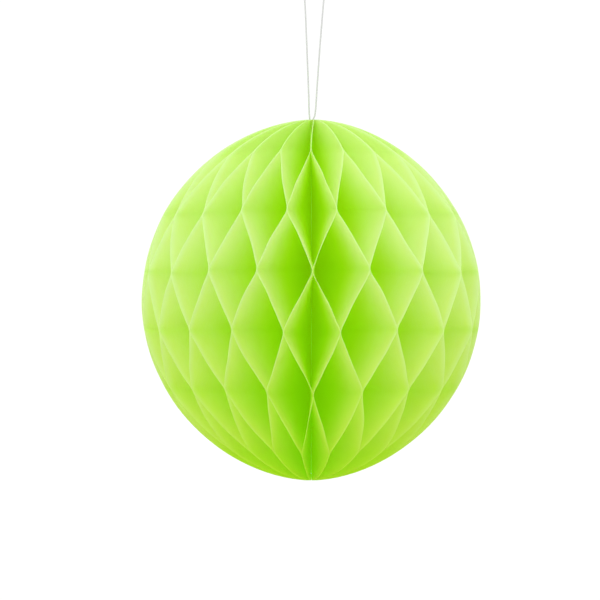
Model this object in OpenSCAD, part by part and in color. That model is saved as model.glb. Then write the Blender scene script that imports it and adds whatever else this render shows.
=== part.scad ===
// Paper honeycomb ball: leaves of tissue stand on edge round one spine, and lines of glue join
// each leaf to its two neighbours at alternate heights, so that the leaves open into cells.
// Millimetres. The origin is the middle of the spine, +Z runs up it and -Y is the front.
// The seam, where the two cover boards meet back to back, is at +Y.

/* [Ball] */
// Height of the ball, along its spine
ball_h = 100; // [80:1:120]
// Widest diameter, at mid height
ball_d = 94; // [80:1:120]
// Outline: 0.5 is an ellipse, and more is slimmer towards the poles
outline_power = 0.545; // [0.5:0.005:0.6]

/* [Tissue] */
// Thickness of one leaf
leaf_t = 0.05; // [0.04:0.01:0.06]
// Room for the glue film between two leaves
glue_gap = 0.02; // [0.01:0.01:0.03]
// Height of one glue line
glue_band = 2; // [1.5:0.1:2.5]
// Distance from one glue line to the next one up
glue_pitch = 16.9; // [16:0.1:17.2]
// Height of the middle of all the glue lines
glue_middle = -0.6; // [-1:0.1:1]
// How far the opened cells have crept round, at the sides, in degrees
cell_creep = 4.5; // [0:0.5:5]

/* [Spine] */
// Radius of the ring that the inner edges of the leaves stand on
ring_r = 1; // [1:0.05:1.1]
// Radius of the sewn and glued binding inside that ring
binding_r = 0.85; // [0.7:0.05:0.9]
// Radius of the knots at both ends of the binding
knot_r = 0.75; // [0.7:0.01:0.8]

/* [Cover boards] */
// Thickness of a board
board_t = 0.25; // [0.2:0.01:0.25]
// How far the edge of a board stays inside the edge of the leaves
board_inset = 1.5; // [1:0.5:3]
// Distance from the axis to the straight edge of a board
board_in = 6.4; // [6.4:0.1:9]
// Diameter of an adhesive pad
pad_d = 8; // [6:1:10]
// Thickness of an adhesive pad
pad_t = 0.08; // [0.04:0.01:0.08]

/* [Thread] */
// Diameter of the thread of the hanging loop
thread_d = 0.5; // [0.3:0.1:0.5]

/* [Hidden] */
LEAVES = 36;
GLUE_LINES = 6;
SEAM = 90;
LEAF_NAMES = [for (k = [1:LEAVES]) str("leaf_", k < 10 ? "0" : "", k)];

lime = [0.66, 0.88, 0.2];
pale_lime = [0.78, 0.95, 0.42];
card = [0.95, 0.95, 0.92];
adhesive = [0.86, 0.87, 0.84];
cotton = [0.9, 0.9, 0.88];

ball_r = ball_d / 2;
half_h = ball_h / 2;
// A leaf ends just short of the pole, where its outline has come in this close to the ring.
tip_r = ring_r + 0.8;
tip_z = half_h * sqrt(1 - pow(tip_r / ball_r, 1 / outline_power));
// The middle of a leaf stays this far from the plane that it shares with its neighbour.
neighbour_gap = (leaf_t + glue_gap) / 2;
// The first and the last leaf make room for a board, from this radius outwards.
board_gap = pad_t / 2 + board_t + glue_gap + leaf_t / 2;
board_gap_r = 0.6 * board_in;
// The knots fill the ring above and below the binding.
binding_top = half_h - 2;
knot_top = binding_top + 1.2;
knot_round = 0.3;
// Rows of the leaf's mesh between two glue lines, and in each cap beyond the outermost one
MID_ROWS = 2;
CAP_ROWS = 5;
BOARD_STEP = 5;
PAD_HEIGHT = 0.56 * half_h;
UPPER_PAD_R = 0.52 * ball_r;
MIDDLE_PAD_R = 0.8 * ball_r;

// The hanging loop, in its own plane: up from the knot, over whatever holds it, and down again.
LOOP_ROUTE = [
    [-0.4, 0, -0.8], [-0.4, 0, 0.2], [-0.5, 0, 1.2], [-0.8, 0, 10], [-1.2, 0, 20], [-1.6, 0, 30],
    [-1.8, 0, 34.5], [-1.5, 0, 35.7], [-0.8, 0, 36.6], [0.2, 0, 37.1],
    [1.5, 0, 37.1], [2.5, 0, 36.6], [3.2, 0, 35.7], [3.5, 0, 34.5],
    [3.2, 0, 30], [2.4, 0, 20], [1.7, 0, 10], [1, 0, 1.2], [0.6, 0, 0.2], [0.4, 0, -0.8]
];
LOOP_SIDES = 8;
LOOP_RING_STEP = 2.5 * thread_d;

// ---- the outline and the glue pattern ----

// Radius of the ball's outline at height z, for a ball that is inset by so much all round
function outline_r(z, inset = 0) =
    (ball_r - inset) * pow(max(0, 1 - pow(z / (half_h - inset), 2)), outline_power);

function glue_z(line) = glue_middle + glue_pitch * (line - (GLUE_LINES - 1) / 2);

function clamp01(x) = min(1, max(0, x));

// +1 where a leaf is glued to one neighbour, -1 where it is glued to the other, straight between
function side_share(z) =
    let (
        p = (z - glue_z(0)) / glue_pitch,
        line = min(GLUE_LINES - 2, max(0, floor(p))),
        flat = glue_band / (2 * glue_pitch),
        rise = clamp01((p - line - flat) / (1 - 2 * flat)),
        here = line % 2 == 1 ? 1 : -1
    )
    here * (1 - 2 * rise);

// Azimuth of the plane between leaf i and the leaf before it
function plane_at(i) =
    let (turn = 360 * i / LEAVES)
    SEAM + turn + cell_creep * pow(sin(turn), 2);

// ---- one leaf, as a folded sheet ----

function cap_rows(from, to) =
    [for (i = [1:CAP_ROWS]) from + (to - from) * sin(90 * i / CAP_ROWS)];

function band_rows(line) = [glue_z(line) - glue_band / 2, glue_z(line) + glue_band / 2];

function between_rows(line) =
    let (low = band_rows(line)[1], high = band_rows(line + 1)[0])
    [for (i = [1:MID_ROWS]) low + (high - low) * i / (MID_ROWS + 1)];

function reversed(list) = [for (i = [len(list) - 1:-1:0]) list[i]];

leaf_rows = concat(
    reversed(cap_rows(band_rows(0)[0], -tip_z)),
    [for (line = [0:GLUE_LINES - 2]) each concat(band_rows(line), between_rows(line))],
    band_rows(GLUE_LINES - 1),
    cap_rows(band_rows(GLUE_LINES - 1)[1], tip_z)
);

// Distances from the axis at which a leaf has its columns of points, at height z
function leaf_radii(z, by_board) =
    let (r = outline_r(z), depth = r - ring_r)
    by_board
        ? [ring_r, min(board_gap_r, ring_r + 0.3 * depth), ring_r + 0.6 * depth, r]
        : [ring_r, ring_r + 0.5 * depth, r];

// How far the leaf stays off the plane on its board's side
function gap_to_board(r) =
    neighbour_gap + (board_gap - neighbour_gap) * clamp01((r - ring_r) / (board_gap_r - ring_r));

// Where the middle of the sheet is across the leaf: first_side is -1 if the leaf is glued at the
// upper glue line to the leaf before it, and 1 if to the leaf after it
function sheet_y(r, z, half_angle, first_side, by_board) =
    let (
        share = (1 + side_share(z)) / 2,
        reach = r * tan(half_angle),
        near = reach - (by_board ? gap_to_board(r) : neighbour_gap) / cos(half_angle),
        far = reach - neighbour_gap / cos(half_angle)
    )
    first_side * (share * near - (1 - share) * far);

module folded_sheet(half_angle, first_side, by_board) {
    rows = len(leaf_rows);
    columns = by_board ? 4 : 3;
    function at(face, i, j) = (face * rows + i) * columns + j;
    function pair(a, b, c, d) = [[a, b, c], [a, c, d]];
    points = [
        for (face = [-1, 1])
            for (z = leaf_rows)
                for (r = leaf_radii(z, by_board))
                    [r, sheet_y(r, z, half_angle, first_side, by_board) + face * leaf_t / 2, z]
    ];
    faces = [
        for (i = [0:rows - 2])
            for (j = [0:columns - 2])
                each concat(
                    pair(at(0, i, j), at(0, i + 1, j), at(0, i + 1, j + 1), at(0, i, j + 1)),
                    pair(at(1, i, j), at(1, i, j + 1), at(1, i + 1, j + 1), at(1, i + 1, j))
                ),
        for (i = [0:rows - 2])
            each concat(
                pair(at(1, i, 0), at(1, i + 1, 0), at(0, i + 1, 0), at(0, i, 0)),
                pair(
                    at(0, i, columns - 1), at(0, i + 1, columns - 1),
                    at(1, i + 1, columns - 1), at(1, i, columns - 1)
                )
            ),
        for (j = [0:columns - 2])
            each concat(
                pair(at(0, 0, j), at(0, 0, j + 1), at(1, 0, j + 1), at(1, 0, j)),
                pair(
                    at(0, rows - 1, j), at(1, rows - 1, j),
                    at(1, rows - 1, j + 1), at(0, rows - 1, j + 1)
                )
            )
    ];
    polyhedron(points, faces);
}

// Leaf k of LEAVES, counted from the left board round the front to the right board
module leaf(k) {
    low = plane_at(k);
    high = plane_at(k + 1);
    by_board = k == 0 || k == LEAVES - 1;
    color(k % 2 == 0 ? lime : pale_lime)
        rotate([0, 0, (low + high) / 2])
            folded_sheet((high - low) / 2, k % 2 == 0 ? -1 : 1, by_board);
}

// ---- the boards and the pads that hold them together ----

// side is 1 for the left board and -1 for the right one: both stand in the plane of the seam
module cover_board(side) {
    top = (half_h - board_inset) * sqrt(1 - pow(board_in / (ball_r - board_inset), 1 / outline_power));
    edge = [
        for (turn = [-90:BOARD_STEP:90])
            let (z = top * sin(turn))
            [max(board_in, outline_r(z, board_inset)), z]
    ];
    color(card)
        rotate([0, 0, SEAM])
            translate([0, side * (pad_t + board_t) / 2, 0])
                rotate([90, 0, 0])
                    linear_extrude(height = board_t, center = true)
                        polygon(edge);
}

module left_cover_board() {
    cover_board(1);
}

module right_cover_board() {
    cover_board(-1);
}

module adhesive_pad(r, z) {
    color(adhesive)
        rotate([0, 0, SEAM])
            translate([r, 0, z])
                rotate([90, 0, 0])
                    cylinder(h = pad_t, d = pad_d, center = true, $fn = 48);
}

module upper_adhesive_pad() {
    adhesive_pad(UPPER_PAD_R, PAD_HEIGHT);
}

module middle_adhesive_pad() {
    adhesive_pad(MIDDLE_PAD_R, 0);
}

module lower_adhesive_pad() {
    adhesive_pad(UPPER_PAD_R, -PAD_HEIGHT);
}

// ---- the spine and its thread ----

module spine_binding() {
    color(lime)
        cylinder(h = 2 * binding_top, r = binding_r, center = true, $fn = 48);
}

module knot() {
    rotate_extrude($fn = 48)
        polygon([
            [0, binding_top], [knot_r - knot_round, binding_top],
            [knot_r, binding_top + knot_round], [knot_r, knot_top - knot_round],
            [knot_r - 0.1, knot_top], [0, knot_top]
        ]);
}

module top_knot() {
    color(cotton)
        knot();
}

module bottom_knot() {
    color(lime)
        mirror([0, 0, 1])
            knot();
}

// The route with straight stretches cut into steps no longer than the ring spacing
function stepped(route, step) =
    [
        for (i = [0:len(route) - 2])
            let (cuts = max(1, floor(norm(route[i + 1] - route[i]) / step)))
            for (c = [0:cuts - 1])
                route[i] + (route[i + 1] - route[i]) * c / cuts,
        route[len(route) - 1]
    ];

// The angle of the route in its plane at point i, from the X axis
function heading(route, i) =
    let (
        ahead = route[min(len(route) - 1, i + 1)],
        behind = route[max(0, i - 1)]
    )
    i == 0 || i == len(route) - 1
        ? (i == 0 ? 90 : -90)
        : atan2(ahead[2] - behind[2], ahead[0] - behind[0]);

module hanging_loop() {
    route = stepped(LOOP_ROUTE, LOOP_RING_STEP);
    rings = len(route);
    points = [
        for (i = [0:rings - 1])
            let (turn = heading(route, i))
            for (s = [0:LOOP_SIDES - 1])
                let (
                    a = 360 * (s + 0.5) / LOOP_SIDES,
                    out = thread_d / 2 * cos(a)
                )
                route[i] + [-out * sin(turn), thread_d / 2 * sin(a), out * cos(turn)]
    ];
    sides = [
        for (i = [0:rings - 2])
            for (s = [0:LOOP_SIDES - 1])
                let (
                    n = (s + 1) % LOOP_SIDES,
                    a = i * LOOP_SIDES
                )
                each [[a + s, a + LOOP_SIDES + s, a + LOOP_SIDES + n], [a + s, a + LOOP_SIDES + n, a + n]]
    ];
    ends = [
        [for (s = [0:LOOP_SIDES - 1]) s],
        [for (s = [LOOP_SIDES - 1:-1:0]) (rings - 1) * LOOP_SIDES + s]
    ];
    color(cotton)
        translate([0, 0, half_h])
            polyhedron(points, concat(sides, ends));
}

hanging_loop();
top_knot();
bottom_knot();
spine_binding();
left_cover_board();
right_cover_board();
upper_adhesive_pad();
middle_adhesive_pad();
lower_adhesive_pad();
for (k = [0:LEAVES - 1]) {
    leaf(k);
}
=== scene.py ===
"""The looks of a paper honeycomb ball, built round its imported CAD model.

Everything is in metres, in the CAD model's frame: the origin is the middle of the spine, +Z runs up it,
-Y is the front, and the seam with the two cover boards is at +Y.
"""

import math
import random

import bpy
import numpy as np
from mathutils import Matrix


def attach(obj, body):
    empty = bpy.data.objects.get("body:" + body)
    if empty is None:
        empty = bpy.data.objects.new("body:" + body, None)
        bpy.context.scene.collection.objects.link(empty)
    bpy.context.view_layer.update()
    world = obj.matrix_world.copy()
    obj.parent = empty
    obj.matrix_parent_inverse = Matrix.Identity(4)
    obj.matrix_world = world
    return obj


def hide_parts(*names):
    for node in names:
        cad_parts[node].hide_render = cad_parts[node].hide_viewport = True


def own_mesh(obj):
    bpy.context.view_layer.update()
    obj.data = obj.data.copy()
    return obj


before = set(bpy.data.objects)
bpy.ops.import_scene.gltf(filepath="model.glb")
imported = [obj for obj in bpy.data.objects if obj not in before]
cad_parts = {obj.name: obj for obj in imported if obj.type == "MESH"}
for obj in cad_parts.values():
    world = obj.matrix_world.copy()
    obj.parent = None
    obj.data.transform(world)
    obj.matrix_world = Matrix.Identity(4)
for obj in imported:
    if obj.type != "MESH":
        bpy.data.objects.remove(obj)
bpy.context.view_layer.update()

MM = 0.001
TINY = 1e-9  # keeps a division from dividing by 0

# ---- sizes that part.scad states too ----

HALF_H = 50 * MM
BALL_R = 47 * MM
OUTLINE_POWER = 0.545

LEAVES = 36
LEAF_T = 0.05 * MM
GLUE_GAP = 0.02 * MM
GLUE_LINES = 6
GLUE_PITCH = 16.9 * MM
GLUE_MIDDLE = -0.6 * MM
CELL_CREEP = 4.5  # degrees
SEAM = 90  # degrees

RING_R = 1 * MM
TIP_R = 1.8 * MM
BINDING_R = 0.85 * MM
BINDING_TOP = 48 * MM
KNOT_R = 0.75 * MM

BOARD_T = 0.25 * MM
BOARD_INSET = 1.5 * MM
BOARD_IN = 6.4 * MM
PAD_D = 8 * MM
PAD_T = 0.08 * MM
PAD_PLACES = {
    "upper_adhesive_pad": (0.52 * BALL_R, 0.56 * HALF_H),
    "middle_adhesive_pad": (0.8 * BALL_R, 0.0),
    "lower_adhesive_pad": (0.52 * BALL_R, -0.56 * HALF_H),
}

THREAD_D = 0.5 * MM
# The hanging loop, in millimetres above the top of the ball
LOOP_ROUTE = [
    (-0.4, 0, -0.8), (-0.4, 0, 0.2), (-0.5, 0, 1.2), (-0.8, 0, 10), (-1.2, 0, 20), (-1.6, 0, 30),
    (-1.8, 0, 34.5), (-1.5, 0, 35.7), (-0.8, 0, 36.6), (0.2, 0, 37.1),
    (1.5, 0, 37.1), (2.5, 0, 36.6), (3.2, 0, 35.7), (3.5, 0, 34.5),
    (3.2, 0, 30), (2.4, 0, 20), (1.7, 0, 10), (1, 0, 1.2), (0.6, 0, 0.2), (0.4, 0, -0.8),
]  # fmt: skip

NEIGHBOUR_GAP = (LEAF_T + GLUE_GAP) / 2
BOARD_GAP = PAD_T / 2 + BOARD_T + GLUE_GAP + LEAF_T / 2
BOARD_GAP_R = 0.6 * BOARD_IN
TIP_Z = HALF_H * math.sqrt(1 - (TIP_R / BALL_R) ** (1 / OUTLINE_POWER))


# ---- camera, light and floor ----

CAMERA_AWAY = 2.2
PICTURE_W = 166.2 * MM  # what the picture's width shows, at the ball
BALL_RIGHT_OF_CENTRE = 3.1 * MM
SENSOR = 36.0
FLOOR_Z = -1.4
FLOOR_HALF = 5.0
WORLD_STRENGTH = 1.05
# place, size and power of each light
SOFT_LIGHTS = {
    "key": ((-0.5, -1.9, 1.1), 1.2, 7.5),
    "top": ((0.1, 0.3, 1.6), 1.0, 4),
}
LIGHT_BOUNCES = 64


def make_camera():
    data = bpy.data.cameras.new("camera")
    data.sensor_width = SENSOR
    data.lens = SENSOR * CAMERA_AWAY / PICTURE_W
    data.clip_end = 100
    camera = bpy.data.objects.new("camera", data)
    camera.location = (-BALL_RIGHT_OF_CENTRE, -CAMERA_AWAY, 0)
    camera.rotation_euler = (math.radians(90), 0, 0)
    bpy.context.scene.collection.objects.link(camera)
    bpy.context.scene.camera = camera


def soft_light(name, place, size, power):
    """A square area light at place that faces the ball."""
    data = bpy.data.lights.new(name, "AREA")
    data.size = size
    data.energy = power
    light = bpy.data.objects.new(name, data)
    light.location = place
    light.rotation_euler = light.location.to_track_quat("Z", "Y").to_euler()
    bpy.context.scene.collection.objects.link(light)


def make_studio():
    world = bpy.data.worlds.new("studio")
    world.use_nodes = True
    background = world.node_tree.nodes["Background"]
    background.inputs["Color"].default_value = (1, 1, 1, 1)
    background.inputs["Strength"].default_value = WORLD_STRENGTH
    bpy.context.scene.world = world
    bpy.context.scene.view_settings.view_transform = "Standard"
    # Light finds its way deep into the cells only over many passes through the tissue.
    cycles = bpy.context.scene.cycles
    cycles.max_bounces = cycles.diffuse_bounces = cycles.transmission_bounces = LIGHT_BOUNCES

    for name, light in SOFT_LIGHTS.items():
        soft_light(name, *light)

    mesh = bpy.data.meshes.new("floor")
    corners = ((-1, -1), (1, -1), (1, 1), (-1, 1))
    mesh.from_pydata([(x * FLOOR_HALF, y * FLOOR_HALF, FLOOR_Z) for x, y in corners], [], [(0, 1, 2, 3)])
    floor = bpy.data.objects.new("floor", mesh)
    bpy.context.scene.collection.objects.link(floor)
    mesh.materials.append(floor_material())


# ---- material helpers ----


def new_material(name):
    """A node material with an empty Principled shader: (material, its node tree, the shader)."""
    material = bpy.data.materials.new(name)
    material.use_nodes = True
    return material, material.node_tree, material.node_tree.nodes["Principled BSDF"]


def add_node(tree, kind, **inputs):
    """A node of that kind. Each value is a number, colour or vector, or the socket to link."""
    node = tree.nodes.new("ShaderNode" + kind)
    for name, value in inputs.items():
        socket = node.inputs[name.replace("_", " ")]
        if isinstance(value, bpy.types.NodeSocket):
            tree.links.new(value, socket)
        else:
            socket.default_value = value
    return node


def object_point(tree, stretch=(1, 1, 1)):
    """The point on the piece, with each axis scaled by stretch."""
    coordinates = tree.nodes.new("ShaderNodeTexCoord")
    return add_node(tree, "Mapping", Vector=coordinates.outputs["Object"], Scale=stretch).outputs[0]


def noise(tree, vector, scale, detail=3.0, roughness=0.55, distortion=0.0):
    node = add_node(
        tree, "TexNoise", Vector=vector, Scale=scale, Detail=detail,
        Roughness=roughness, Distortion=distortion,
    )  # fmt: skip
    return node.outputs["Fac"]


def graded(tree, fac, low, high, to_low=0.0, to_high=1.0, soft=False):
    """fac from low..high to to_low..to_high, and held there outside it. With soft it eases in and out."""
    node = add_node(
        tree, "MapRange", Value=fac, From_Min=low, From_Max=high, To_Min=to_low, To_Max=to_high
    )
    if soft:
        node.interpolation_type = "SMOOTHSTEP"
    return node.outputs["Result"]


def maths(tree, operation, a, b=0.0):
    node = tree.nodes.new("ShaderNodeMath")
    node.operation = operation
    for socket, value in zip(node.inputs, (a, b)):
        if isinstance(value, bpy.types.NodeSocket):
            tree.links.new(value, socket)
        else:
            socket.default_value = value
    return node.outputs[0]


def mixed(tree, fac, a, b, blend="MIX"):
    """A mix of two colours."""
    node = tree.nodes.new("ShaderNodeMix")
    node.data_type = "RGBA"
    node.blend_type = blend
    sockets = [s for s in node.inputs if s.enabled]
    for socket, value in zip(sockets, (fac, a, b)):
        if isinstance(value, bpy.types.NodeSocket):
            tree.links.new(value, socket)
        else:
            socket.default_value = value
    return next(s for s in node.outputs if s.enabled)


def bump(tree, height, strength, distance):
    return add_node(tree, "Bump", Height=height, Strength=strength, Distance=distance).outputs["Normal"]


def link(tree, socket, shader, name):
    tree.links.new(socket, shader.inputs[name])


def set_glow(shader, painted_glow, share=1):
    """The shader gives off light of that strength and colour, though only a share of it is mixed in."""
    brightest = max(painted_glow)
    shader.inputs["Emission Color"].default_value = tuple(c / brightest for c in painted_glow) + (1,)
    shader.inputs["Emission Strength"].default_value = brightest / share


# ---- materials ----


def floor_material():
    material, tree, shader = new_material("floor")
    grain = noise(tree, object_point(tree), 6.0)
    link(tree, mixed(tree, grain, (0.6, 0.6, 0.6, 1), (0.64, 0.64, 0.63, 1)), shader, "Base Color")
    shader.inputs["Roughness"].default_value = 0.9
    return material


# The tissue's lime carries painted light and shade: the greener lime low down is painted shade, and the
# paler lime near the cut edge, stronger towards the top, is painted light.
SHADED_LOW_LIME = (0.66, 0.93, 0.06, 1)
DEEP_LIME = (0.71, 0.92, 0.06, 1)
PAINTED_LIGHT_LIME = (0.732, 0.905, 0.33, 1)
# the pale lime of the fibres and the cut edge: partly the paper's own tone, partly a painted highlight
PALE_FIBRE_AND_HIGHLIGHT_LIME = (0.752, 0.94, 0.5, 1)
TISSUE_PAINTED_GLOW = (0.048, 0.035, 0.0)  # a faint painted glow in lime, standing in for light lost deep in the cells
THROUGH = 0.5  # the share of the light that the paper lets through
RIM_PALE_AND_HIGHLIGHT = 2.2 * MM  # how far in from the cut edge the paper is palest, partly as whiter frayed paper and partly as a painted highlight
RIM_PAINTED_LIGHT = (6 * MM, 24 * MM)  # how far in from the cut edge the painted light is even, and painted at all
LIGHT_AND_SHADE_HEIGHTS = (-0.95 * HALF_H, 0.25 * HALF_H)  # the heights over which painted shade low down gives way to painted light: where the shade is whole, and where the light is whole


def tissue_material():
    """Thin dyed tissue: cloudy, full of fine fibres, paler at the cut edge, and lit through, with painted
    light near the cut edge and towards the top, painted shade towards the bottom and a faint painted
    glow.
    """
    material, tree, shader = new_material("tissue")
    flat = tree.nodes.new("ShaderNodeUVMap")
    flat.uv_map = "sheet"
    sheet_point = flat.outputs["UV"]

    def fibres(across, along, turn):
        placed = add_node(
            tree, "Mapping", Vector=sheet_point, Scale=(across, along, 1),
            Rotation=(0, 0, math.radians(turn)),
        )  # fmt: skip
        return noise(tree, placed.outputs[0], 1.0, detail=2.0, distortion=0.6)

    clouds = graded(tree, noise(tree, sheet_point, 260.0, detail=4.0), 0.3, 0.7)
    upright = graded(tree, fibres(2600, 330, 14), 0.42, 0.68)
    level = graded(tree, fibres(2300, 300, 98), 0.45, 0.7)
    fibre = maths(tree, "MAXIMUM", upright, level)
    mottle = maths(tree, "ADD", maths(tree, "MULTIPLY", clouds, 0.6), maths(tree, "MULTIPLY", fibre, 0.4))

    rim_node = tree.nodes.new("ShaderNodeAttribute")
    rim_node.attribute_name = "from_rim"
    from_rim = rim_node.outputs["Fac"]
    # the cut edge is palest, partly as whiter frayed paper and partly as a painted highlight
    rim = graded(tree, from_rim, 0.0, RIM_PALE_AND_HIGHLIGHT, 1.0, 0.0)
    pale = maths(tree, "MAXIMUM", maths(tree, "MULTIPLY", mottle, 0.4), rim)
    # painted light near the cut edge, stronger towards the top, over painted shade (a greener lime)
    # towards the bottom
    height = add_node(tree, "SeparateXYZ", Vector=object_point(tree)).outputs["Z"]
    high = graded(tree, height, *LIGHT_AND_SHADE_HEIGHTS)
    near_rim = graded(tree, from_rim, *RIM_PAINTED_LIGHT, 1.0, 0.0, soft=True)
    painted_light = maths(tree, "MULTIPLY", high, near_rim)
    dye = mixed(tree, high, SHADED_LOW_LIME, DEEP_LIME)
    dye = mixed(tree, painted_light, dye, PAINTED_LIGHT_LIME)
    # the pale fibres and pale cut edge, partly real tone and partly a painted highlight, show only within
    # the painted light
    dye = mixed(tree, maths(tree, "MULTIPLY", pale, painted_light), dye, PALE_FIBRE_AND_HIGHLIGHT_LIME)

    link(tree, dye, shader, "Base Color")
    link(tree, graded(tree, mottle, 0, 1, 0.9, 0.78), shader, "Roughness")
    shader.inputs["Specular IOR Level"].default_value = 0.25
    # a faint painted glow: the tissue gives off a little lime light of its own
    set_glow(shader, TISSUE_PAINTED_GLOW, 1 - THROUGH)

    crepe = noise(tree, sheet_point, 900.0, detail=3.0)
    relief = maths(tree, "ADD", maths(tree, "MULTIPLY", fibre, 0.5), crepe)
    normal = bump(tree, relief, 0.35, 0.03 * MM)
    tree.links.new(normal, shader.inputs["Normal"])

    # The dye acts once for each sheet, at the face where light comes in. A ray that meets a face from
    # inside the sheet goes on out, undyed.
    inside = tree.nodes.new("ShaderNodeNewGeometry").outputs["Backfacing"]
    passed = mixed(tree, inside, dye, (1, 1, 1, 1))
    through = add_node(tree, "BsdfTranslucent", Color=passed, Normal=normal)
    both = add_node(tree, "MixShader", Fac=graded(tree, inside, 0, 1, THROUGH, 1))
    tree.links.new(shader.outputs[0], both.inputs[1])
    tree.links.new(through.outputs[0], both.inputs[2])
    tree.links.new(both.outputs[0], tree.nodes["Material Output"].inputs["Surface"])
    return material


def card_material():
    """White card: a smooth face with faint fibres and flecks."""
    material, tree, shader = new_material("cover_card")
    point = object_point(tree)
    cloud = graded(tree, noise(tree, point, 140.0), 0.3, 0.7)
    grain = noise(tree, object_point(tree, (1, 1, 7)), 900.0, detail=4.0)
    fleck = graded(tree, noise(tree, point, 1500.0, detail=1.0), 0.68, 0.76)
    tone = mixed(tree, cloud, (0.83, 0.83, 0.8, 1), (0.88, 0.88, 0.86, 1))
    tone = mixed(tree, maths(tree, "MULTIPLY", fleck, 0.5), tone, (0.62, 0.6, 0.54, 1))
    link(tree, tone, shader, "Base Color")
    link(tree, graded(tree, grain, 0.3, 0.7, 0.62, 0.76), shader, "Roughness")
    shader.inputs["Specular IOR Level"].default_value = 0.35
    link(tree, bump(tree, grain, 0.3, 0.02 * MM), shader, "Normal")
    return material


def adhesive_material():
    """Double-sided adhesive: pale, tacky and a little uneven."""
    material, tree, shader = new_material("adhesive")
    point = object_point(tree)
    patch = graded(tree, noise(tree, point, 420.0, detail=4.0, distortion=0.8), 0.35, 0.65)
    link(tree, mixed(tree, patch, (0.8, 0.8, 0.74, 1), (0.87, 0.87, 0.84, 1)), shader, "Base Color")
    link(tree, graded(tree, patch, 0, 1, 0.16, 0.34), shader, "Roughness")
    shader.inputs["Coat Weight"].default_value = 0.3
    shader.inputs["Coat Roughness"].default_value = 0.12
    link(tree, bump(tree, patch, 0.5, 0.02 * MM), shader, "Normal")
    return material


BINDING_TINT = (0.72, 0.94, 0.2)
BINDING_PAINTED_GLOW = (0.04, 0.1, 0.0)  # a painted glow, standing in for light that the glued edges of the paper carry in


def cotton_material(name, tint, glue, painted_glow=(0, 0, 0)):
    """Twisted cotton, with glue soaked in where glue is above 0, and a painted glow where one is given.
    """
    material, tree, shader = new_material(name)
    fuzz = noise(tree, object_point(tree, (1, 1, 0.35)), 9000.0, detail=4.0)
    patch = noise(tree, object_point(tree), 700.0)
    dark = tuple((0.72 + 0.23 * glue) * c for c in tint) + (1,)
    tone = mixed(tree, graded(tree, fuzz, 0.3, 0.7), dark, tint + (1,))
    link(tree, tone, shader, "Base Color")
    link(tree, graded(tree, patch, 0.3, 0.7, 0.88 - 0.5 * glue, 0.94 - 0.3 * glue), shader, "Roughness")
    shader.inputs["Sheen Weight"].default_value = 0.25 * (1 - glue)
    shader.inputs["Sheen Roughness"].default_value = 0.5
    shader.inputs["Specular IOR Level"].default_value = 0.4 - 0.3 * glue
    # a painted glow: the cotton gives off light, though it is no lamp
    if any(painted_glow):
        set_glow(shader, painted_glow)
    link(tree, bump(tree, fuzz, 0.5, 0.03 * MM), shader, "Normal")
    return material


# ---- mesh helpers ----


def add_piece(name, points, faces, material, smooth_under=None):
    """A mesh piece. Edges sharper than smooth_under, in degrees, stay sharp."""
    mesh = bpy.data.meshes.new(name)
    mesh.from_pydata([tuple(p) for p in points], [], faces)
    if smooth_under is not None:
        mesh.shade_smooth()
        mesh.set_sharp_from_angle(angle=math.radians(smooth_under))
    mesh.materials.append(material)
    piece = bpy.data.objects.new(name, mesh)
    bpy.context.scene.collection.objects.link(piece)
    return piece


def stand_for(piece, node, body):
    """piece replaces that CAD node and moves with that body."""
    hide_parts(node)
    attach(piece, body)


def smooth_route(points, per_stretch):
    """A smooth curve through the points, as a list with per_stretch steps between each two."""
    points = [np.array(p, float) for p in points]
    ends = [2 * points[0] - points[1], *points, 2 * points[-1] - points[-2]]
    line = []
    for before, a, b, after in zip(ends, ends[1:], ends[2:], ends[3:]):
        # centripetal spacing keeps the curve from overshooting where a long stretch meets a short one
        knots = [0.0]
        for p, q in ((before, a), (a, b), (b, after)):
            knots.append(knots[-1] + math.sqrt(np.linalg.norm(q - p)))
        t0, t1, t2, t3 = knots
        for step in range(per_stretch):
            t = t1 + (t2 - t1) * step / per_stretch
            a1 = (t1 - t) / (t1 - t0) * before + (t - t0) / (t1 - t0) * a
            a2 = (t2 - t) / (t2 - t1) * a + (t - t1) / (t2 - t1) * b
            a3 = (t3 - t) / (t3 - t2) * b + (t - t2) / (t3 - t2) * after
            b1 = (t2 - t) / (t2 - t0) * a1 + (t - t0) / (t2 - t0) * a2
            b2 = (t3 - t) / (t3 - t1) * a2 + (t - t1) / (t3 - t1) * a3
            line.append((t2 - t) / (t2 - t1) * b1 + (t - t1) / (t2 - t1) * b2)
    line.append(points[-1])
    return line


def evenly(line, step):
    """The line again, with its points about one step apart."""
    line = np.array(line)
    along = np.concatenate([[0], np.cumsum(np.linalg.norm(np.diff(line, axis=0), axis=1))])
    places = np.linspace(0, along[-1], max(2, round(along[-1] / step)))
    return np.stack([np.interp(places, along, line[:, i]) for i in range(3)], axis=1), places


PLY_GROOVE = 0.2  # how deep the grooves between the plies are, as a share of the thread's radius
PLY_ROUNDNESS = 0.7
STEPS_PER_PITCH = 9


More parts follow.
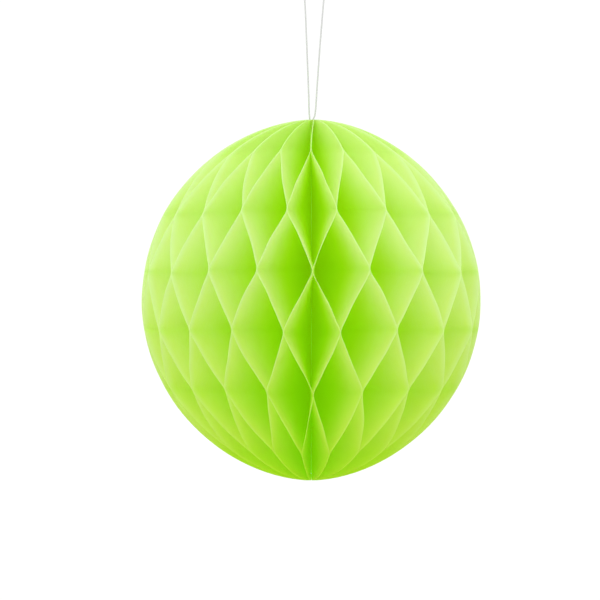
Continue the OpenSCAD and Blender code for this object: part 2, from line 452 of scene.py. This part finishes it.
def twisted_tube(line, radius, plies, pitch, sides, closed=False):
    """Points and faces of a thread of several plies that wind round each other along the line."""
    points, faces = [], []
    line, along = evenly(line, pitch / STEPS_PER_PITCH)
    count = len(line)
    across = None
    for i, centre in enumerate(line):
        ahead = line[(i + 1) % count] if closed else line[min(i + 1, count - 1)]
        behind = line[i - 1] if closed or i else line[0]
        forward = (ahead - behind) / np.linalg.norm(ahead - behind)
        if across is None:
            across = np.cross(forward, (0.3, 1, 0.2))
        across = across - forward * (across @ forward)
        across = across / np.linalg.norm(across)
        other = np.cross(forward, across)
        wind = 2 * math.pi * along[i] / pitch
        for s in range(sides):
            turn = 2 * math.pi * s / sides
            ply = abs(math.cos(plies * (turn - wind) / 2))
            reach = radius * (1 - PLY_GROOVE + PLY_GROOVE * ply**PLY_ROUNDNESS)
            points.append(centre + reach * (math.cos(turn) * across + math.sin(turn) * other))
    rings = count if closed else count - 1
    for i in range(rings):
        low, high = i * sides, (i + 1) % count * sides
        for s in range(sides):
            n = (s + 1) % sides
            faces.append((low + s, low + n, high + n, high + s))
    if not closed:
        faces.append(tuple(reversed(range(sides))))
        faces.append(tuple((count - 1) * sides + s for s in range(sides)))
    return points, faces


# ---- the hanging loop ----

THREAD_PITCH = 1.1 * MM
THREAD_PLIES = 3
LOOP_SIDES = 18
ROUTE_STEPS = 8  # between each two points of the loop's route


def make_loop(material):
    route = [(x * MM, y * MM, z * MM + HALF_H) for x, y, z in LOOP_ROUTE]
    line = smooth_route(route, ROUTE_STEPS)
    points, faces = twisted_tube(line, THREAD_D / 2, THREAD_PLIES, THREAD_PITCH, LOOP_SIDES)
    loop = add_piece("loop_thread", points, faces, material, smooth_under=60)
    stand_for(loop, "hanging_loop", "spine")


# ---- the leaves ----

STUCK = 1.4 * MM  # height of the stretch at a glue line that stays flat once the paper bends
BEND = 0.9 * MM  # half the height over which the paper bends at a crease
BEND_STEPS = 9
CREASE_ROWS = 11
PANEL_ROWS = 7
CAP_ROWS = 9
COLUMNS = 16
RIM_CROWDING = 1.6  # above 1, the columns lie closer together towards the cut edge
BOW = 0.45 * MM  # how far a panel between two glue lines may bow sideways
CRINKLE = 0.35 * MM  # how deep the waves in the paper are
CRINKLE_LENGTH = (8 * MM, 20 * MM)
CRINKLES = 4
CUT_WAVER = 0.12 * MM  # how uneven the cut edge is
CUT_LENGTHS = (3.1 * MM, 7.7 * MM)
SIDE_SQUEEZE = 0.12  # how much closer the glue lines lie at the sides of the ball
GATHER = 2.2  # degrees by which the cells at the sides have drawn round towards the front
FAN = 1.8  # degrees by which that is less at the top and more at the bottom
WAVER = 0.3  # degrees by which the cells have turned here and there
WAVER_TURNS = 2.3
WAVER_LENGTH = 11 * MM
WAVER_PHASE = 0.6
RIPPLE = 0.9 * MM  # how far the glue lines rise between the front and the sides
RIPPLE_TURNS = 3
TOP_LEAN = 0.7 * MM  # how far the top end of the leaves leans over
LEAN_POWER = 1.5
CURL = 3  # degrees by which a leaf curls between its rim and the spine
CURL_LENGTH = 15 * MM
CURL_PHASE = 1.1
FLAT_AT_SEAM = 4  # how steeply the curl grows from the seam to its whole size
BOTTOM_TWIST = 2.8  # degrees by which the bottom cells have turned
LEAF_SEED = 7
WHOLE_TURN = 6.28  # the range that waves' phases are drawn from
# Each leaf is cut this much further along the sheet and up it than the last, in metres.
CUT_STEP = (0.11, 0.07)


def outline_r(z):
    return BALL_R * np.maximum(0, 1 - (z / HALF_H) ** 2) ** OUTLINE_POWER


def glue_z(line):
    return GLUE_MIDDLE + GLUE_PITCH * (line - (GLUE_LINES - 1) / 2)


def plane_at(i):
    """Azimuth in degrees of the plane between leaf i and the leaf before it."""
    turn = 360 * i / LEAVES
    return SEAM + turn + CELL_CREEP * math.sin(math.radians(turn)) ** 2


def sharp_side(z):
    """1 where a leaf is glued to one neighbour, and -1 where it is glued to the other.

    Its cut edge runs straight between.
    """
    p = (z - glue_z(0)) / GLUE_PITCH
    line = np.clip(np.floor(p), 0, GLUE_LINES - 2)
    flat = STUCK / (2 * GLUE_PITCH)
    rise = np.clip((p - line - flat) / (1 - 2 * flat), 0, 1)
    low_r = outline_r(glue_z(line) + STUCK / 2)
    high_r = outline_r(glue_z(line + 1) - STUCK / 2)
    side = (low_r - (low_r + high_r) * rise) / np.maximum(outline_r(z), TINY)
    side = np.where(rise <= 0, 1, np.where(rise >= 1, -1, side))
    return np.where(line % 2 == 1, 1, -1) * np.clip(side, -1, 1)


def side_share(z):
    """sharp_side with its creases bent softly, over BEND to each side."""
    steps = np.linspace(-BEND, BEND, BEND_STEPS)
    return np.mean([sharp_side(z + step) for step in steps], axis=0)


def leaf_heights():
    """Heights of a leaf's rows of points: close together at the creases and wide apart between them."""
    half = STUCK / 2 + BEND
    rows = []
    for line in range(GLUE_LINES):
        z = glue_z(line)
        rows += list(z + half * np.linspace(-1, 1, CREASE_ROWS))
        if line < GLUE_LINES - 1:
            rows += list(np.linspace(z + half, glue_z(line + 1) - half, PANEL_ROWS + 2)[1:-1])
    towards = [math.sin(math.radians(90 * i / CAP_ROWS)) for i in range(1, CAP_ROWS + 1)]
    below = [rows[0] + (-TIP_Z - rows[0]) * t for t in towards]
    above = [rows[-1] + (TIP_Z - rows[-1]) * t for t in towards]
    return np.array(below[::-1] + rows + above)


def open_share(azimuth):
    """1 at the front of the opened ball, a half at its sides and 0 at the seam."""
    return (1 + np.cos(np.radians(azimuth - SEAM - 180))) / 2


def strayed(azimuth, z):
    """How the opened ball strays from its even form, as (turn in degrees, rise in metres).

    It is the same for all leaves, so glued leaves stay together. It fades out at the seam, and the rise
    fades out at the poles too.
    """
    from_front = np.radians(azimuth - SEAM - 180)
    side = np.sin(from_front)
    inside = 1 - (z / TIP_Z) ** 2
    twist = BOTTOM_TWIST * (np.minimum(0, z) / glue_z(0)) ** 2
    gather = (FAN * z / HALF_H - GATHER) * side
    waver = WAVER * np.sin(WAVER_TURNS * from_front + z / WAVER_LENGTH + WAVER_PHASE)
    turn = open_share(azimuth) * (twist + gather + inside * waver)
    rise = RIPPLE * np.sin(RIPPLE_TURNS * from_front) ** 2 - SIDE_SQUEEZE * z * side**2
    return turn, open_share(azimuth) * inside * rise


def top_lean(azimuth, r, z):
    """How far the leaves lean to the right near the top pole, but not where the binding holds them."""
    last_line = glue_z(GLUE_LINES - 1)
    above = np.clip((z - last_line) / (TIP_Z - last_line), 0, 1)
    free = np.clip((r - RING_R) / (TIP_R - RING_R), 0, 1)
    return TOP_LEAN * open_share(azimuth) * above**LEAN_POWER * free


def bowed(z, amounts):
    """Sideways bow of the panels between the glue lines, at height z."""
    p = (z - glue_z(0)) / GLUE_PITCH
    line = np.clip(np.floor(p), 0, GLUE_LINES - 2).astype(int)
    share = np.clip(p - line, 0, 1)
    return np.array(amounts)[line] * np.sin(math.pi * share) ** 2


def crinkled(r, z, dice):
    """Shallow waves in the paper, in directions of their own on each leaf."""
    waves = 0
    for _ in range(CRINKLES):
        turn = dice.uniform(0, math.pi)
        length = dice.uniform(*CRINKLE_LENGTH)
        phase = dice.uniform(0, WHOLE_TURN)
        along = r * math.cos(turn) + z * math.sin(turn)
        waves = waves + np.sin(2 * math.pi * along / length + phase)
    return CRINKLE * waves / CRINKLES


def leaf_surface(k, dice):
    """The middle surface of leaf k, as arrays of rows by columns.

    They are its points, the way across the sheet at each, and each one's distance from the cut edge.
    """
    low, high = plane_at(k), plane_at(k + 1)
    middle, half = (low + high) / 2, math.radians((high - low) / 2)
    first_side = -1 if k % 2 == 0 else 1
    z = leaf_heights()[:, None]
    depth = 1 - np.linspace(1, 0, COLUMNS)[None, :] ** RIM_CROWDING
    r = RING_R + (outline_r(z) - RING_R) * depth

    # how far it reaches to the first leaf or board beside it, and to the second
    reach = r * math.tan(half)
    first_gap = NEIGHBOUR_GAP
    if k in (0, LEAVES - 1):
        beside_board = np.clip((r - RING_R) / (BOARD_GAP_R - RING_R), 0, 1)
        first_gap = NEIGHBOUR_GAP + (BOARD_GAP - NEIGHBOUR_GAP) * beside_board
    to_first = reach - first_gap / math.cos(half)
    to_second = reach - NEIGHBOUR_GAP / math.cos(half)
    share = (1 + side_share(z)) / 2
    sideways = first_side * (share * to_first - (1 - share) * to_second)
    amounts = [dice.uniform(-BOW, BOW) for _ in range(GLUE_LINES - 1)]
    sideways = sideways + bowed(z, amounts) * (r / BALL_R) ** 2
    sideways = sideways + crinkled(r, z, dice) * (1 - side_share(z) ** 2) * r / BALL_R

    azimuth = middle + np.degrees(np.arctan2(sideways, r))
    turn, rise = strayed(azimuth, z)
    # the leaves at the seam are glued to the boards, so they stay flat
    curl = CURL * np.minimum(1, FLAT_AT_SEAM * open_share(azimuth))
    curl = curl * (1 - r / np.maximum(outline_r(z), TIP_R))
    turn = turn + curl * np.sin(z / CURL_LENGTH + CURL_PHASE)
    up = z + rise
    phase = dice.uniform(0, WHOLE_TURN)
    short, long = CUT_LENGTHS
    cut = CUT_WAVER * np.sin(up / short + phase) * np.sin(up / long + 2 * phase) * (r > TIP_R)
    width = outline_r(up) - RING_R - 0.5 * CUT_WAVER + 0.5 * cut
    scale = width / np.maximum(outline_r(z) - RING_R, TINY)
    r = RING_R + (r - RING_R) * np.where(np.abs(z) < TIP_Z, scale, 1)
    angle = math.radians(middle) + np.radians(turn)
    flat = np.stack([r, sideways, np.broadcast_to(up, r.shape)], axis=-1)
    points = np.stack(
        [
            flat[..., 0] * np.cos(angle) - flat[..., 1] * np.sin(angle),
            flat[..., 0] * np.sin(angle) + flat[..., 1] * np.cos(angle),
            flat[..., 2],
        ],
        axis=-1,
    )
    points[..., 0] += top_lean(azimuth, r, points[..., 2])
    across = np.stack([-np.sin(angle), np.cos(angle), np.zeros_like(angle)], axis=-1)
    from_rim = (1 - depth) * (outline_r(z) - RING_R)
    return points, across, from_rim


def sheet_faces(rows, columns):
    """Faces of a closed sheet whose front points come before its back points."""
    back = rows * columns

    def at(i, j):
        return i * columns + j

    faces = []
    for i in range(rows - 1):
        for j in range(columns - 1):
            a, b, c, d = at(i, j), at(i, j + 1), at(i + 1, j + 1), at(i + 1, j)
            faces.append((a, b, c, d))
            faces.append((back + a, back + d, back + c, back + b))
    rim = [at(0, j) for j in range(columns)]
    rim += [at(i, columns - 1) for i in range(1, rows)]
    rim += [at(rows - 1, j) for j in range(columns - 2, -1, -1)]
    rim += [at(i, 0) for i in range(rows - 2, 0, -1)]
    for a, b in zip(rim, rim[1:] + rim[:1]):
        faces.append((a, back + a, back + b, b))
    return faces


def make_leaf(k, material):
    name = f"leaf_{k + 1:02d}"
    dice = random.Random(LEAF_SEED + k)
    points, across, from_rim = leaf_surface(k, dice)
    rows, columns = from_rim.shape
    front = (points - across * LEAF_T / 2).reshape(-1, 3)
    back = (points + across * LEAF_T / 2).reshape(-1, 3)
    both_faces = np.concatenate([front, back])
    faces = sheet_faces(rows, columns)
    leaf = add_piece(f"tissue_{name}", both_faces, faces, material, smooth_under=50)

    # where each point was on the flat sheet that the leaves were cut from
    radius = np.hypot(points[..., 0], points[..., 1])
    along, up = CUT_STEP
    place = np.stack([radius + along * k, points[..., 2] + up * k], axis=-1).reshape(-1, 2)
    mesh = leaf.data
    corners = np.zeros(len(mesh.loops), int)
    mesh.loops.foreach_get("vertex_index", corners)
    flat = mesh.uv_layers.new(name="sheet")
    flat.data.foreach_set("uv", place[corners % (rows * columns)].ravel())
    edge = mesh.attributes.new("from_rim", "FLOAT", "POINT")
    edge.data.foreach_set("value", np.tile(from_rim.ravel(), 2))

    stand_for(leaf, name, name)
    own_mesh(leaf)


# ---- the spine ----

STITCH_PITCH = 2.4 * MM
STITCH_DEPTH = 0.1 * MM
STITCH_SHARPNESS = 6
BINDING_SIDES = 36
BINDING_ROWS = 400
KNOT_THREAD_R = 0.23 * MM
KNOT_STEPS = 120
KNOT_SIDES = 12


def make_binding(material):
    """A core of glued tissue edges with thread wound round it both ways."""
    sides, rows = BINDING_SIDES, BINDING_ROWS
    points, faces = [], []
    for i in range(rows):
        z = BINDING_TOP * (2 * i / (rows - 1) - 1)
        for s in range(sides):
            turn = 2 * math.pi * s / sides
            wind = 2 * math.pi * z / STITCH_PITCH
            up = abs(math.sin((turn + wind) / 2)) ** STITCH_SHARPNESS
            down = abs(math.sin((turn - wind) / 2)) ** STITCH_SHARPNESS
            r = BINDING_R - STITCH_DEPTH * (1 - max(up, down))
            points.append((r * math.cos(turn), r * math.sin(turn), z))
    for i in range(rows - 1):
        for s in range(sides):
            n = (s + 1) % sides
            a = i * sides
            faces.append((a + s, a + n, a + sides + n, a + sides + s))
    faces.append(tuple(reversed(range(sides))))
    faces.append(tuple((rows - 1) * sides + s for s in range(sides)))
    binding = add_piece("binding_core", points, faces, material, smooth_under=60)
    stand_for(binding, "spine_binding", "spine")


def make_knot(name, node, up, material):
    """A small overhand knot at one end of the binding, pulled out as far as the leaves' ends."""
    thick = KNOT_THREAD_R
    wide = (KNOT_R - thick) / 3
    tall = (TIP_Z - BINDING_TOP) / 2 - thick
    line = []
    for i in range(KNOT_STEPS):
        t = 2 * math.pi * i / KNOT_STEPS
        line.append(
            (
                wide * (math.sin(t) + 2 * math.sin(2 * t)),
                wide * (math.cos(t) - 2 * math.cos(2 * t)),
                up * (BINDING_TOP + TIP_Z) / 2 - tall * math.sin(3 * t),
            )
        )
    points, faces = twisted_tube(line, thick, THREAD_PLIES, THREAD_PITCH, KNOT_SIDES, closed=True)
    knot = add_piece(name, points, faces, material, smooth_under=60)
    stand_for(knot, node, "spine")


# ---- the cover boards and their pads ----

BOARD_BEVEL = 0.06 * MM
BEVEL_SLOPE = 0.6  # how far the bevel runs across the board for each step that it runs in
PAD_SIDES = 64
# the pad's edge, from inside out, as shares of its radius and of its half thickness
PAD_EDGE = [(0.6, 1.0), (0.93, 1.0), (0.985, 0.8), (1.0, 0.35)]
PAD_WAVER = 0.008  # how far out of round the pads are, as a share of their radius
PAD_WAVES = 5


def board_outline(inset):
    """The board's outline in its own plane, as (distance from the axis, height)."""
    edge_inset = BOARD_INSET + inset
    far, high = BALL_R - edge_inset, HALF_H - edge_inset
    near = BOARD_IN + inset
    top = high * math.sqrt(1 - (near / far) ** (1 / OUTLINE_POWER))
    line = []
    for turn in range(-90, 91, 2):
        z = top * math.sin(math.radians(turn))
        line.append((max(near, far * (1 - (z / high) ** 2) ** OUTLINE_POWER), z))
    return line


def make_board(name, node, side, body, material):
    """A card half-disc beside the seam's plane, at x below 0 where side is 1."""
    middle = -side * (PAD_T + BOARD_T) / 2
    half = BOARD_T / 2
    layers = [
        (-half, BOARD_BEVEL),
        (-half + BOARD_BEVEL * BEVEL_SLOPE, 0),
        (half - BOARD_BEVEL * BEVEL_SLOPE, 0),
        (half, BOARD_BEVEL),
    ]
    points, faces = [], []
    for across, inset in layers:
        points += [(middle + across, r, z) for r, z in board_outline(inset)]
    count = len(points) // len(layers)
    for layer in range(len(layers) - 1):
        a, b = layer * count, (layer + 1) * count
        for i in range(count):
            n = (i + 1) % count
            faces.append((a + i, a + n, b + n, b + i))
    faces.append(tuple(reversed(range(count))))
    faces.append(tuple((len(layers) - 1) * count + i for i in range(count)))
    board = add_piece(name, points, faces, material, smooth_under=60)
    stand_for(board, node, body)


def make_pad(node, place, material):
    """A round of adhesive on the seam's plane, with a soft edge."""
    r0, z0 = place
    dice = random.Random(node)
    phase = dice.uniform(0, WHOLE_TURN)
    sides = PAD_SIDES
    layers = PAD_EDGE + [(share, -half) for share, half in reversed(PAD_EDGE)]
    points, faces = [], []
    for share, half in layers:
        for s in range(sides):
            turn = 2 * math.pi * s / sides
            waver = 1 - PAD_WAVER * (1 + math.sin(PAD_WAVES * turn + phase))
            reach = PAD_D / 2 * share * waver
            points.append((half * PAD_T / 2, r0 + reach * math.cos(turn), z0 + reach * math.sin(turn)))
    for layer in range(len(layers) - 1):
        a, b = layer * sides, (layer + 1) * sides
        for s in range(sides):
            n = (s + 1) % sides
            faces.append((a + s, b + s, b + n, a + n))
    faces.append(tuple(range(sides)))
    faces.append(tuple((len(layers) - 1) * sides + s for s in reversed(range(sides))))
    pad = add_piece(f"{node}_round", points, faces, material, smooth_under=40)
    stand_for(pad, node, "spine")


# ---- the whole ----


def make_all():
    make_camera()
    thread = cotton_material("thread", (0.8, 0.8, 0.8), glue=0.0)
    make_loop(thread)
    make_studio()

    tissue = tissue_material()
    for k in range(LEAVES):
        make_leaf(k, tissue)

    # the binding is stained lime, and carries a painted glow
    stained_with_painted_glow = cotton_material("binding", BINDING_TINT, glue=0.8, painted_glow=BINDING_PAINTED_GLOW)
    make_binding(stained_with_painted_glow)
    make_knot("knot_above", "top_knot", 1, thread)
    make_knot("knot_below", "bottom_knot", -1, stained_with_painted_glow)

    card = card_material()
    make_board("card_left", "left_cover_board", 1, "spine", card)
    make_board("card_right", "right_cover_board", -1, "right_cover", card)
    adhesive = adhesive_material()
    for node, place in PAD_PLACES.items():
        make_pad(node, place, adhesive)


make_all()
